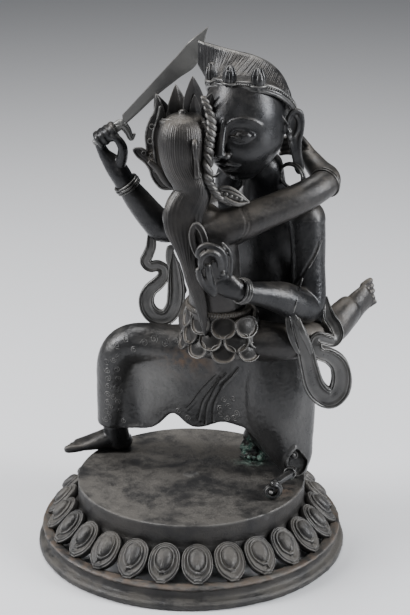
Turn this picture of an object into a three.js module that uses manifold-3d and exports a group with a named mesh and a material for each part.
import * as THREE from 'three';
import { mergeVertices } from 'three/addons/utils/BufferGeometryUtils.js';
import Module from 'manifold-3d';

// Bronze group: a male deity in a lunge, his consort in his arms, on an openwork lotus plinth.
// Millimetres. +Z up, +X to the viewer's right, +Y away from the viewer.

// Lotus plinth
const RING_R = 100;
const RING_INNER_R = 89;
const RING_H = 15;
const DRUM_R = 73.8;
const PLINTH_TOP = 45.2;
const DRUM_BASE = 30.4;
const FLANGE_R = 82;
const FLANGE_Z = 22;
const WALL = 3.2;
const PETALS = 26;
const PETAL_TURN = 0.05;
const PETAL_LENGTH = 26;
const PETAL_HALF_WIDTH = 9.7;
const PETAL_MID_R = 84.6;
const PETAL_MID_Z = 24.2;
const PETAL_SLOPE = Math.PI / 4;

// Clearance between one piece and the next
const GAP = 0.35;

// Which way the figures stand: across the shoulders, to each figure's own left
const MALE_ACROSS = [0.78, -0.62, 0];
const CONSORT_ACROSS = [-0.7, 0.72, 0];
const MALE_FACING = [-0.47, -0.88, -0.02];
const CONSORT_FACING = [0.76, 0.64, 0.1];

// Joints of the male deity
const HIP_LINE = [46, 22, 124];
const WAIST = [50, 19, 160];
const CHEST = [50, 13, 196];
const SHOULDER_LINE = [49, 12, 216];
const NECK = [46, 7, 232];
const HEAD = [35.4, 3, 278];
const LEFT_SHOULDER = [71, -4, 219];
const LEFT_ELBOW = [73, -14, 167];
const LEFT_WRIST = [34, -46, 187];
const LEFT_PALM = [22, -50, 190];
const RIGHT_SHOULDER = [27, 28, 219];
const RIGHT_ELBOW = [-18, 41, 200];
const RIGHT_WRIST = [-42, 37, 233];
const FIST = [-51, 37, 260];
const RIGHT_KNEE = [-49.6, 36.4, 111];
const RIGHT_ANKLE = [-51, 39, 62];
const LEFT_KNEE = [66, 0, 54];
const LEFT_ANKLE = [45, 31, 62];

// Joints of the consort
const C_PELVIS = [17, -14, 148];
const C_WAIST = [15, -20, 178];
const C_CHEST = [10, -23, 206];
const C_SHOULDERS = [7, -23, 221];
const C_NECK = [1, -24, 238];
const C_HEAD = [-4.2, -25.5, 274];
const C_RIGHT_SHOULDER = [22, -31, 224];
const C_RIGHT_ELBOW = [79, -8, 241];
const C_RIGHT_HAND = [71, 30, 256];
const C_LEFT_SHOULDER = [-7, -10, 224];
const C_LEFT_ELBOW = [-4, 24, 214];
const C_LEFT_HAND = [34, 40, 226];

// Sword
const SWORD_Y = 38;
const SWORD_THICK = 2.6;

const wasm = await Module();
wasm.setup();

const vec = (p) => new THREE.Vector3(p[0], p[1], p[2]);

function toManifold(geometry) {
  const bare = new THREE.BufferGeometry();
  bare.setAttribute('position', geometry.getAttribute('position'));
  if (geometry.index) {
    bare.setIndex(geometry.index);
  }
  const merged = mergeVertices(bare, 1e-4);
  return new wasm.Manifold(new wasm.Mesh({
    numProp: 3,
    vertProperties: new Float32Array(merged.getAttribute('position').array),
    triVerts: new Uint32Array(merged.index.array),
  }));
}

// The one sound body of a casting, without the slivers that a close fit pares off
function soundBody(triangles) {
  const owner = new Map();
  const rootOf = (v) => {
    let root = v;
    while (owner.has(root)) {
      root = owner.get(root);
    }
    return root;
  };
  for (let i = 0; i < triangles.length; i += 3) {
    for (const corner of [triangles[i + 1], triangles[i + 2]]) {
      const from = rootOf(corner);
      const to = rootOf(triangles[i]);
      if (from !== to) {
        owner.set(from, to);
      }
    }
  }
  const bodies = new Map();
  for (let i = 0; i < triangles.length; i += 3) {
    const root = rootOf(triangles[i]);
    bodies.set(root, [...(bodies.get(root) ?? []), triangles[i], triangles[i + 1], triangles[i + 2]]);
  }
  return [...bodies.values()].reduce((best, body) => (body.length > best.length ? body : best));
}

function toGeometry(manifold) {
  const mesh = manifold.getMesh();
  const geometry = new THREE.BufferGeometry();
  geometry.setAttribute('position', new THREE.BufferAttribute(new Float32Array(mesh.vertProperties), 3));
  geometry.setIndex(soundBody(mesh.triVerts));
  const flat = geometry.toNonIndexed();
  flat.computeVertexNormals();
  return flat;
}

function union(parts) {
  return parts.reduce((whole, part) => whole.add(part));
}

// Three axes for a figure's head: own left, back and up
function headAxes(facing) {
  const back = vec(facing).normalize().negate();
  const left = new THREE.Vector3().crossVectors(back, new THREE.Vector3(0, 0, 1)).normalize();
  const up = new THREE.Vector3().crossVectors(left, back);
  return { left, back, up };
}

function placed(origin, axes) {
  return new THREE.Matrix4().makeBasis(axes.left, axes.back, axes.up).setPosition(...origin);
}

// A body of oval rings along a smooth line through the stations, with rounded ends.
// A station is [centre, half width, half depth]; the width lies along `across`.
function limb(stations, { sides = 6, steps = 1, across = null, grow = 0, end = 0.8 } = {}) {
  const curve = new THREE.CatmullRomCurve3(stations.map((s) => vec(s[0])), false, 'centripetal');
  const count = (stations.length - 1) * steps;
  const rings = [];
  let side = across ? vec(across) : null;
  for (let i = 0; i <= count; i += 1) {
    const t = i / count;
    const along = curve.getTangent(t);
    const k = Math.min(Math.floor(t * (stations.length - 1)), stations.length - 2);
    const f = t * (stations.length - 1) - k;
    const [, wideFrom, deepFrom = wideFrom] = stations[k];
    const [, wideTo, deepTo = wideTo] = stations[k + 1];
    const wide = THREE.MathUtils.lerp(wideFrom, wideTo, f) + grow;
    const deep = THREE.MathUtils.lerp(deepFrom, deepTo, f) + grow;
    if (!side) {
      side = Math.abs(along.z) < 0.8 ? new THREE.Vector3(0, 0, 1) : new THREE.Vector3(1, 0, 0);
    }
    const a = side.clone().addScaledVector(along, -side.dot(along)).normalize();
    if (!across) {
      side = a;
    }
    const b = new THREE.Vector3().crossVectors(along, a);
    rings.push({ centre: curve.getPoint(t), along, a, b, wide, deep });
  }
  const first = rings[0];
  const last = rings[rings.length - 1];
  const capped = (ring, sign) => {
    const reach = Math.min(ring.wide, ring.deep) * end;
    return {
      ring: {
        ...ring,
        centre: ring.centre.clone().addScaledVector(ring.along, sign * reach * 0.62),
        wide: ring.wide * 0.74,
        deep: ring.deep * 0.74,
      },
      pole: ring.centre.clone().addScaledVector(ring.along, sign * reach),
    };
  };
  const start = capped(first, -1);
  const stop = capped(last, 1);
  const all = [start.ring, ...rings, stop.ring];
  const positions = [];
  for (const ring of all) {
    for (let j = 0; j < sides; j += 1) {
      const turn = (j / sides) * Math.PI * 2;
      const p = ring.centre.clone()
        .addScaledVector(ring.a, Math.cos(turn) * ring.wide)
        .addScaledVector(ring.b, Math.sin(turn) * ring.deep);
      positions.push(p.x, p.y, p.z);
    }
  }
  positions.push(start.pole.x, start.pole.y, start.pole.z, stop.pole.x, stop.pole.y, stop.pole.z);
  const index = [];
  for (let i = 0; i < all.length - 1; i += 1) {
    for (let j = 0; j < sides; j += 1) {
      const n = (j + 1) % sides;
      index.push(i * sides + j, i * sides + n, (i + 1) * sides + n);
      index.push(i * sides + j, (i + 1) * sides + n, (i + 1) * sides + j);
    }
  }
  const lastRing = (all.length - 1) * sides;
  const startPole = all.length * sides;
  for (let j = 0; j < sides; j += 1) {
    const n = (j + 1) % sides;
    index.push(startPole, n, j);
    index.push(startPole + 1, lastRing + j, lastRing + n);
  }
  const geometry = new THREE.BufferGeometry();
  geometry.setAttribute('position', new THREE.Float32BufferAttribute(positions, 3));
  geometry.setIndex(index);
  return toManifold(geometry);
}

function ball(centre, radii, axes = null, sides = 8) {
  const geometry = new THREE.SphereGeometry(1, sides, Math.round(sides * 0.67));
  geometry.rotateX(Math.PI / 2);
  geometry.scale(...radii);
  if (axes) {
    geometry.applyMatrix4(placed(centre, axes));
  } else {
    geometry.translate(...centre);
  }
  return toManifold(geometry);
}

// A flat plate cut to an outline of [along left, along up] points, its thickness along `back`
function plate(outline, thick, origin, axes, hole = null) {
  const shape = new THREE.Shape(outline.map(([u, v]) => new THREE.Vector2(u, v)));
  if (hole) {
    shape.holes.push(new THREE.Path(hole.map(([u, v]) => new THREE.Vector2(u, v))));
  }
  const geometry = new THREE.ExtrudeGeometry(shape, { depth: thick, bevelEnabled: false });
  geometry.translate(0, 0, -thick / 2);
  geometry.rotateX(Math.PI / 2);
  geometry.applyMatrix4(placed(origin, axes));
  return toManifold(geometry);
}

function lathe(profile, segments) {
  const points = profile.map(([r, z]) => new THREE.Vector2(r, z));
  const geometry = new THREE.LatheGeometry(points, segments);
  geometry.rotateX(Math.PI / 2);
  return toManifold(geometry);
}

// A closed hoop on the ellipse of half axes `u` and `v`, its bar `thick` outwards and `tall` along its axis
function hoop(centre, u, v, thick, tall, sides = 14) {
  const positions = [];
  const index = [];
  const round = 4;
  const axis = new THREE.Vector3().crossVectors(u, v).normalize();
  for (let i = 0; i < sides; i += 1) {
    const turn = (i / sides) * Math.PI * 2;
    const spoke = u.clone().multiplyScalar(Math.cos(turn)).addScaledVector(v, Math.sin(turn));
    const out = spoke.clone().normalize();
    for (let j = 0; j < round; j += 1) {
      const roll = (j / round) * Math.PI * 2;
      const p = vec(centre).add(spoke).addScaledVector(out, thick * Math.cos(roll))
        .addScaledVector(axis, tall * Math.sin(roll));
      positions.push(p.x, p.y, p.z);
      const a = i * round + j;
      const b = i * round + ((j + 1) % round);
      const c = ((i + 1) % sides) * round + ((j + 1) % round);
      const d = ((i + 1) % sides) * round + j;
      index.push(a, c, b, a, d, c);
    }
  }
  const geometry = new THREE.BufferGeometry();
  geometry.setAttribute('position', new THREE.Float32BufferAttribute(positions, 3));
  geometry.setIndex(index);
  return toManifold(geometry);
}

// One lotus petal: an oval cushion with a pointed tip, a stepped ridge and a raised boss
function petal(turn) {
  const sides = 7;
  const layers = [
    [-3.6, 0.96, 0],
    [1.6, 0.93, 0.2],
    [4.2, 0.3, 1.8],
  ];
  const positions = [];
  const index = [];
  for (const [height, size, shift] of layers) {
    for (let j = 0; j < sides; j += 1) {
      const a = (j / sides) * Math.PI * 2;
      const pinch = Math.cos(a) > 0.5 ? 0.92 : 1.04;
      positions.push(
        -PETAL_HALF_WIDTH * size * Math.sin(a) * pinch,
        height,
        -(PETAL_LENGTH / 2) * size * Math.cos(a) + shift,
      );
    }
  }
  for (let i = 0; i < layers.length - 1; i += 1) {
    for (let j = 0; j < sides; j += 1) {
      const n = (j + 1) % sides;
      const low = i * sides;
      index.push(low + j, low + n, low + sides + n, low + j, low + sides + n, low + sides + j);
    }
  }
  const topRing = (layers.length - 1) * sides;
  for (let j = 1; j < sides - 1; j += 1) {
    index.push(0, j + 1, j, topRing, topRing + j, topRing + j + 1);
  }
  const geometry = new THREE.BufferGeometry();
  geometry.setAttribute('position', new THREE.Float32BufferAttribute(positions, 3));
  geometry.setIndex(index);
  geometry.rotateY(Math.PI);
  geometry.rotateX(Math.PI - PETAL_SLOPE);
  geometry.translate(0, -PETAL_MID_R, PETAL_MID_Z);
  geometry.rotateZ(turn);
  return toManifold(geometry);
}

function lotusPlinth() {
  const round = 34;
  const ring = lathe([
    [RING_INNER_R, 0], [98.6, 0], [RING_R, 3], [95.4, 7], [95.2, 11.8], [97.2, RING_H],
    [90.6, RING_H], [RING_INNER_R, 0],
  ], round);
  const drum = lathe([
    [0, PLINTH_TOP - WALL], [DRUM_R - WALL, PLINTH_TOP - WALL], [DRUM_R - WALL, DRUM_BASE],
    [FLANGE_R - 1.8, FLANGE_Z - 1.4], [FLANGE_R, FLANGE_Z], [DRUM_R, DRUM_BASE + 0.6], [DRUM_R, PLINTH_TOP],
    [0, PLINTH_TOP],
  ], round);
  const petals = [];
  for (let i = 0; i < PETALS; i += 1) {
    petals.push(petal(PETAL_TURN + (i / PETALS) * Math.PI * 2));
  }
  return union([ring.add(drum), ...petals]);
}

// Points in a figure's head frame: own left, back, up from the centre of the head
function inHead(centre, axes) {
  return (left, back, up) => {
    const p = vec(centre).addScaledVector(axes.left, left).addScaledVector(axes.back, back)
      .addScaledVector(axes.up, up);
    return [p.x, p.y, p.z];
  };
}

// A place on his crown's band, high over the forehead and low behind the ears
function onBand(turn) {
  const away = 1 - Math.cos(turn);
  const reach = 20.6 + 4.8 * away;
  return [reach * Math.sin(turn), -reach * Math.cos(turn), 29.2 - 10.2 * away ** 2];
}

function maleHead() {
  const axes = headAxes(MALE_FACING);
  const at = inHead(HEAD, axes);
  const across = axes.left.toArray();
  const turns = [-1.95, -1.4, -0.9, -0.4, 0, 0.4, 0.9, 1.4, 1.95];
  const band = turns.map((turn) => [at(...onBand(turn)), 1.7, 2.6]);
  const parts = [
    limb([
      [at(0, -9, -27), 9.5, 9.5], [at(0, -8.8, -21), 16.6, 16.6], [at(0, -8, -9), 24, 24.2],
      [at(0, -6.6, 4), 25, 26], [at(0, -4.4, 15), 24.4, 25], [at(0, -2.6, 25.5), 21, 21.4],
    ], { sides: 9, across, end: 0.3 }),
    limb([[at(0, -31, 5), 2.2], [at(0, -35, -5.5), 4.2, 3.8]], { sides: 4 }),
    limb(band, { sides: 4 }),
  ];
  for (const side of [-1, 1]) {
    parts.push(limb([
      [at(side * 27.4, 7.6, 8.4), 5, 2.6], [at(side * 28.4, 8.4, 1), 6.2, 3],
      [at(side * 27.6, 7.6, -8), 5, 2.4], [at(side * 30.6, 7, -22), 3.2, 2.6],
    ], { sides: 5, across: axes.left.clone().multiplyScalar(side).add(axes.back).toArray() }));
  }
  const earringAcross = new THREE.Vector3(7, -5.5, 0);
  parts.push(hoop(at(27.4, 5.4, -29.6), earringAcross, new THREE.Vector3(0, 0, 7.6), 1.6, 1.6, 9));
  for (const turn of [-0.84, -0.08, 0.75]) {
    const [left, back, up] = onBand(turn);
    parts.push(ball(at(left, back, up + 6), [4.4, 4, 6.4], null, 5));
  }
  return parts;
}

// Hair combed back from the band to a thin raised edge, with a point that stands out sideways
function hairFan() {
  const at = inHead(HEAD, headAxes(MALE_FACING));
  // Top edge, front foot and back foot of each strand, as [left, back, up]
  const strands = [
    [[-40.2, 11.5, 46.3], [-40.4, 10.6, 31.5], [-40.2, 12.4, 32]],
    [[-28.5, 11.5, 44.4], [-31.5, 7.4, 22], [-31, 15, 20]],
    [[-15, 11.5, 42.6], onBand(-1.3), [-22, 20, 6]],
    [[-3, 11.5, 41.2], onBand(-0.5), [-9, 25, 0]],
    [[8.5, 11.5, 37.4], onBand(0.44), [8, 25, 0]],
    [[17, 11.5, 30.5], onBand(1.08), [18, 20, 4]],
    [[22.8, 10, 21], onBand(1.6), [24, 13, 8]],
  ];
  const positions = [];
  const index = [];
  const add = (left, back, up) => positions.push(...at(left, back, up));
  const between = (a, b, lift) => add((a[0] + b[0]) / 2, (a[1] + b[1]) / 2, (a[2] + b[2]) / 2 + lift);
  for (const [top, front, rear] of strands) {
    add(...rear);
    between(top, rear, 4);
    add(top[0], top[1] + 1, top[2]);
    add(top[0], top[1] - 1, top[2]);
    between(front, top, -0.8);
    add(...front);
  }
  const ring = 6;
  const last = (strands.length - 1) * ring;
  for (let i = 0; i < last; i += ring) {
    for (let j = 0; j < ring; j += 1) {
      const n = (j + 1) % ring;
      index.push(i + j, i + ring + n, i + ring + j, i + j, i + n, i + ring + n);
    }
  }
  for (let j = 1; j < ring - 1; j += 1) {
    index.push(0, j + 1, j, last, last + j, last + j + 1);
  }
  const geometry = new THREE.BufferGeometry();
  geometry.setAttribute('position', new THREE.Float32BufferAttribute(positions, 3));
  geometry.setIndex(index);
  return [toManifold(geometry)];
}

function bracelet(wrist, elbow, radius) {
  const back = vec(elbow).sub(vec(wrist)).normalize();
  const at = (distance) => vec(wrist).addScaledVector(back, distance).toArray();
  return [[at(5.4), radius], [at(5), radius + 1.7], [at(0.4), radius + 1.4], [at(0), radius - 0.4]];
}

function maleArms() {
  return [
    limb([[LEFT_SHOULDER, 11.5], [[73, -8, 195], 10.4], [LEFT_ELBOW, 11], [[56, -30, 179], 10],
      ...bracelet(LEFT_WRIST, [56, -30, 179], 7)]),
    limb([[RIGHT_SHOULDER, 11], [[6, 36, 209], 10], [RIGHT_ELBOW, 9.4], [[-30, 39, 216], 8.8],
      ...bracelet(RIGHT_WRIST, RIGHT_ELBOW, 6.8), [[-48, 37, 244], 6.4], [[-50.6, 37, 252], 7.6, 6.4],
      [FIST, 7, 6]]),
    // Left hand held up behind the consort's back, one finger and thumb joined
    limb([[LEFT_WRIST, 6, 5], [LEFT_PALM, 9, 5], [[13, -52, 194], 8, 4.4]], { across: [0, 0, 1] }),
    limb([[[24, -52, 196], 3.2], [[26, -53, 206], 2.4], [[20, -53, 215], 1.7]], { sides: 4 }),
    limb([[[18, -53, 197], 3], [[20, -56, 207], 2.5], [[13, -57, 213], 2.3], [[5, -56, 209], 2]],
      { sides: 4 }),
    limb([[[10, -53, 193], 3], [[4, -55, 197], 2.8], [[2, -56, 206], 2.2]], { sides: 4 }),
    // Right hand closed round the sword
    limb([[[-58, 35, 260], 3.2], [[-53, 31, 262], 3.2], [[-46, 31.6, 265], 2.8]], { sides: 4 }),
    limb([[[-59, 36, 255], 3.4], [[-54, 31, 256], 3.2], [[-47, 31, 258], 2.8]], { sides: 4 }),
    limb([[[-50, 36, 262], 3.2], [[-50, 36, 268.6], 2.2]], { sides: 4 }),
  ];
}

// The garment drawn tight between the legs: a curved sheet from the thigh down to its hem, with pleats
function garment() {
  const across = 10;
  const thick = 5.5;
  const positions = [];
  const index = [];
  const bell = (x, middle, spread) => Math.exp(-(((x - middle) / spread) ** 2));
  const hemAt = (x) => 65 + 0.14 * (x + 52) + 11 * bell(x, -12, 8.5) + 3 * bell(x, 19, 9);
  const frontAt = (x) => 30 - 0.22 * (x + 52);
  for (let i = 0; i <= across; i += 1) {
    const x = THREE.MathUtils.lerp(-52, 52, i / across);
    const hem = hemAt(x) - Math.max(0, x - 34) * 0.9;
    const front = frontAt(x) - 5 * Math.sin((i / across) * Math.PI);
    const rows = [[hem, front], [THREE.MathUtils.lerp(hem, 122, 0.45), front + 2.5], [122, front + 6]];
    for (const [z, y] of rows) {
      positions.push(x, y, z);
    }
    for (const [z, y] of rows.reverse()) {
      positions.push(x, y + thick, z);
    }
  }
  const ring = 6;
  for (let i = 0; i < across; i += 1) {
    for (let j = 0; j < ring; j += 1) {
      const n = (j + 1) % ring;
      const a = i * ring;
      index.push(a + j, a + ring + j, a + ring + n, a + j, a + ring + n, a + n);
    }
  }
  for (let j = 1; j < ring - 1; j += 1) {
    const last = across * ring;
    index.push(0, j, j + 1, last, last + j + 1, last + j);
  }
  const geometry = new THREE.BufferGeometry();
  geometry.setAttribute('position', new THREE.Float32BufferAttribute(positions, 3));
  geometry.setIndex(index);
  return toManifold(geometry);
}

function maleLegs() {
  return [
    limb([[[42, 24, 122], 20], [[10, 29, 122], 16], [[-20, 33, 123], 13.8], [[-40, 35, 122.4], 13.2],
      [RIGHT_KNEE, 12.2], [[-51, 38, 92], 11.4], [[-51, 39, 65], 11.6]], { sides: 8, end: 0.2 }),
    limb([[RIGHT_ANKLE, 8], [[-49, 40, 52], 8]]),
    limb([[[-46, 41, 50], 8, 6.4], [[-62, 40, 51], 8.4, 6.6], [[-74, 39, 48.6], 7.6, 4],
      [[-80, 39, 47.4], 6, 2.6]], { across: [0, 1, 0] }),
    limb([[[58, 14, 126], 24, 21], [[57, 9, 106], 23, 20], [[58, 6, 87], 22.5, 18], [[62, 4, 70], 18.6, 15],
      [[67, 2, 57], 13, 12], [[68, 1, 50], 8.4, 9]], { sides: 8, across: [1, 0, 0] }),
    limb([[LEFT_KNEE, 9], [[55, 17, 60], 10], [LEFT_ANKLE, 8], [[41, 31, 52], 7, 5], [[40, 25, 48], 7, 2.6]],
      { across: [1, 0, 0] }),
    garment(),
    ...[0, 1, 2].map((i) => limb([[[28 - i * 2.8, 11.5 + i * 0.7, 117], 1],
      [[17.2 - i * 5, 11.8 + i, 98], 1.7], [[14 - i * 5.4, 10.6 + i * 1.2, 78.4], 2]], { sides: 4 })),
  ];
}

// A flat ribbon that faces the viewer, along [point, half width] rows
function ribbon(rows, halfThick) {
  const stations = rows.map(([point, halfWidth]) => [point, halfThick, halfWidth]);
  return limb(stations, { sides: 6, across: [0, 1, 0], end: 0.5 });
}

function maleScarves() {
  const spiral = [];
  for (let i = 0; i <= 7; i += 1) {
    const turn = 1.2 - i * 0.85;
    const r = 5.4 - i * 0.55;
    spiral.push([[51 + r * Math.cos(turn), -38, 51.6 + r * Math.sin(turn)], 2.2 - i * 0.08]);
  }
  return [
    ribbon([[[59, -30, 174], 2.8], [[64, -33, 166], 3.4], [[68, -33, 155], 4.4], [[72, -28, 138], 5.4],
      [[75, -25, 122], 6.2], [[80, -22, 110.6], 6.6], [[88, -21, 107.4], 6.8], [[94, -21, 113], 6.6],
      [[95, -21, 122], 6.4], [[92, -22, 132], 5.6], [[86, -25, 138], 4.6], [[79, -27, 140.4], 3.8]], 2.2),
    ribbon([[[77, -27, 143], 3.8], [[79, -26.4, 149.6], 3.4], [[85, -23, 147.6], 3.3],
      [[90.8, -19, 149.4], 3.5], [[89.8, -17, 156], 3.5], [[86, -14, 162], 3.2], [[81.6, -11, 171], 2.8]], 2),
    ribbon([[[-24, 41, 203], 2.7], [[-25.4, 40, 189], 3], [[-29.4, 40, 179.4], 3.2],
      [[-24.4, 40, 175.4], 3.3], [[-17.4, 40, 172], 3.4], [[-20.6, 40, 165.2], 3.5],
      [[-28.4, 39.6, 158.4], 4], [[-28.8, 39, 147], 4.4], [[-20, 38, 140], 4.7], [[-12.6, 37, 146], 4.5],
      [[-10.2, 36.5, 160], 4.6],
      [[-10.6, 36.5, 173], 3.8], [[-11.6, 36.5, 186], 1]], 1.9),
    limb([[[65, -8, 52], 2.8], [[60, -20, 53], 2.8], [[56, -30, 55], 2.6], ...spiral], { sides: 4 }),
  ];
}

function maleTorso() {
  return [
    limb([[HIP_LINE, 26, 21], [WAIST, 22, 17], [CHEST, 27, 18], [SHOULDER_LINE, 27, 13]],
      { sides: 8, across: MALE_ACROSS }),
    limb([[[47, 11, 220], 15], [NECK, 13.2], [[44, 5, 250], 12]]),
  ];
}

// Three tiers of rounded leaves that hang round the hips, each tier wider than the one above
function leafSkirt(grow) {
  const leaves = 9;
  const columns = leaves * 2;
  const across = vec(CONSORT_ACROSS).normalize();
  const front = new THREE.Vector3(-across.y, across.x, 0);
  const rings = [[161, 21.5, 17.5, 0]];
  for (let tier = 0; tier < 3; tier += 1) {
    const low = 151.5 - tier * 7;
    rings.push([low, 24.4 + tier * 1.6, 20.4 + tier * 1.5, 5]);
    rings.push([low + 1.4, 21.6 + tier * 1.6, 17.6 + tier * 1.5, 3]);
  }
  const positions = [];
  const index = [];
  rings.forEach(([z, wide, deep, scallop], i) => {
    const tier = Math.ceil(i / 2);
    for (let j = 0; j < columns; j += 1) {
      const turn = (j / columns) * Math.PI * 2;
      const lift = ((j + tier) % 2) * scallop;
      const p = new THREE.Vector3(18, -14.5, z + lift)
        .addScaledVector(across, Math.cos(turn) * (wide + grow))
        .addScaledVector(front, Math.sin(turn) * (deep + grow));
      positions.push(p.x, p.y, p.z - Math.sign(i) * grow);
    }
  });
  positions.push(18, -14.5, 163, 18, -14.5, 138);
  for (let i = 0; i < rings.length - 1; i += 1) {
    for (let j = 0; j < columns; j += 1) {
      const n = (j + 1) % columns;
      const a = i * columns;
      index.push(a + j, a + columns + j, a + columns + n, a + j, a + columns + n, a + n);
    }
  }
  const top = rings.length * columns;
  const last = (rings.length - 1) * columns;
  for (let j = 0; j < columns; j += 1) {
    const n = (j + 1) % columns;
    index.push(top, j, n, top + 1, last + n, last + j);
  }
  const geometry = new THREE.BufferGeometry();
  geometry.setAttribute('position', new THREE.Float32BufferAttribute(positions, 3));
  geometry.setIndex(index);
  return toManifold(geometry);
}

function consort(grow = 0) {
  const g = { grow };
  const axes = headAxes(CONSORT_FACING);
  const at = inHead(C_HEAD, axes);
  const parts = [
    limb([[C_PELVIS, 22, 18], [C_WAIST, 18, 14.5], [C_CHEST, 19, 15], [C_SHOULDERS, 19, 12]],
      { ...g, sides: 8, across: CONSORT_ACROSS }),
    limb([[[3, -23, 226], 11], [C_NECK, 9], [[-1, -25, 254], 10]], g),
    ball(C_HEAD, [14 + grow, 15.6 + grow, 19 + grow], axes, 8),
    // Hair gathered at the nape and run down the spine
    limb([[[-4.2, -29, 264], 12.6, 11], [[-0.8, -31, 250], 11.6, 8], [[-3.6, -35, 231], 12, 4.8],
      [[-2.5, -38, 211], 6.2, 3.6], [[0.4, -37.6, 196], 4.4, 3.2], [[5.6, -36, 178], 3.6, 2.8],
      [[8.8, -35, 156], 1.5, 1.6]],
    { ...g, across: [1, -0.2, 0] }),
    // Arms: the right over his shoulder to his nape, the left round his back
    limb([[C_RIGHT_SHOULDER, 11], [[50, -24, 232.6], 9.8], [C_RIGHT_ELBOW, 9.4], [[80, 12, 247], 7.4],
      [C_RIGHT_HAND, 5.4]], g),
    limb([[C_LEFT_SHOULDER, 10.5], [[-8, 8, 219], 9], [C_LEFT_ELBOW, 8.6], [[14, 40, 222], 6.8],
      [C_LEFT_HAND, 4.6]], g),
    // Legs wrapped round his waist
    limb([[[28, -18, 148], 13], [[52, -24, 147], 12.4], [[72, -16, 146], 11], [[86, -3, 146], 10],
      [[94, 3, 151], 11, 9.6], [[101, 9, 157], 9.6, 7.6], [[108, 13, 163], 8.6, 5],
      [[114, 16, 165], 8.6, 3.4]],
    { ...g, across: [0.3, 0.1, 1] }),
    limb([[[8, -8, 148], 13], [[4, 14, 150], 12], [[10, 36, 152], 10], [[28, 52, 154], 8],
      [[46, 58, 156], 6.4], [[56, 60, 160], 6.4, 5], [[64, 60, 166], 6, 3]], { ...g, sides: 5 }),
    hoop([-4, -24.4, 287], new THREE.Vector3(12, 0, 0), new THREE.Vector3(0, 10.4, -2.4), 2.4 + grow,
      2.6 + grow, 10),
  ];
  // Ornament strand down the right side of her face, with a leaf on the shoulder
  parts.push(limb([[[2, -27, 301], 1.6], [[9, -31, 297], 2.2], [[13, -33, 288], 2.6], [[11, -35, 272], 2.2],
    [[11, -35, 258], 2], [[16, -35, 247], 2], [[26, -33, 235], 2.4]], { ...g, sides: 4 }));
  parts.push(limb([[[20, -34, 250], 3, 1.6], [[28, -34, 245], 4.4, 1.8], [[35, -32, 240], 1.8, 1.4]],
    { ...g, sides: 5, across: [0, 0, 1] }));
  // Side leaf of the crown and the ribbon that flutters behind her ear
  const flat = {
    left: new THREE.Vector3(1, 0, 0), back: new THREE.Vector3(0, 1, 0), up: new THREE.Vector3(0, 0, 1),
  };
  parts.push(plate([[-7, 247], [-11, 262], [-12, 280], [-19, 297], [-24, 288], [-26.3, 279], [-25.8, 270],
    [-33.6, 270], [-30, 262], [-25, 261], [-22, 252], [-17, 246]], 3 + 2 * grow, [0, -19, 0], flat));
  // Crown leaves, each from its foot on the band to its tip
  const leaves = [
    [[-14, -16, 283], [-19.7, -12, 303]], [[-7, -19, 286], [-7.6, -18, 307.6]],
    [[3, -26, 286], [0.2, -28, 316]], [[9, -18, 284], [12, -15, 304]], [[1, -12, 285], [0, -5, 305]],
  ];
  for (const [foot, tip] of leaves) {
    const middle = foot.map((v, i) => (v + tip[i]) / 2);
    parts.push(limb([[foot, 6, 1.9], [middle, 5, 1.7], [tip, 0.8, 1]],
      { ...g, sides: 5, across: [1, 0.2, 0] }));
  }
  // Skirt of overlapping leaves
  parts.push(leafSkirt(grow));
  return union(parts);
}

function sword(grow = 0) {
  const outline = [
    [-43, 276], [-25.4, 295.2], [-6.5, 316], [-0.3, 323.6], [11, 332], [8.6, 320], [4.6, 309.5], [-21, 288.5],
    [-42.6, 268],
  ].reverse();
  const axes = {
    left: new THREE.Vector3(1, 0, 0), back: new THREE.Vector3(0, 1, 0), up: new THREE.Vector3(0, 0, 1),
  };
  return union([
    plate(outline, SWORD_THICK + 2 * grow, [0, SWORD_Y, 0], axes),
    limb([[[-50, SWORD_Y, 268.4], 1.8], [[-43, SWORD_Y, 270], 2.8], [[-37.4, SWORD_Y, 260.4], 2.2]],
      { sides: 4, grow }),
    limb([[[-43, SWORD_Y, 270], 3], [[-56, SWORD_Y, 261], 3], [[-59.4, SWORD_Y, 258.6], 3.6]],
      { sides: 5, grow }),
  ]);
}

function maleDeity() {
  const body = union([...maleTorso(), ...maleHead(), ...hairFan(), ...maleArms(), ...maleLegs()]);
  const whole = union([body, ...maleScarves()]);
  const floor = new THREE.BoxGeometry(400, 400, 100);
  floor.translate(0, 0, PLINTH_TOP + GAP - 50);
  return whole.subtract(toManifold(floor)).subtract(consort(GAP)).subtract(sword(GAP));
}

const BRONZE = { color: 0x2b2a2a, metalness: 0.8, roughness: 0.5 };

function node(name, manifold, look) {
  const mesh = new THREE.Mesh(toGeometry(manifold), new THREE.MeshStandardMaterial(look));
  mesh.name = name;
  return mesh;
}

const group = new THREE.Group();
group.name = 'bronze_deity_group';
group.add(node('lotus_plinth', lotusPlinth(), BRONZE));
group.add(node('male_deity', maleDeity(), BRONZE));
group.add(node('consort', consort(), BRONZE));
group.add(node('sword', sword(), { ...BRONZE, color: 0x4a4a46 }));

// The part's own frame: middle of the whole outline, on the underside of the ring
const bounds = new THREE.Box3().setFromObject(group);
const middle = bounds.getCenter(new THREE.Vector3());
for (const mesh of group.children) {
  mesh.geometry.translate(-middle.x, -middle.y, -bounds.min.z);
}

export default group;
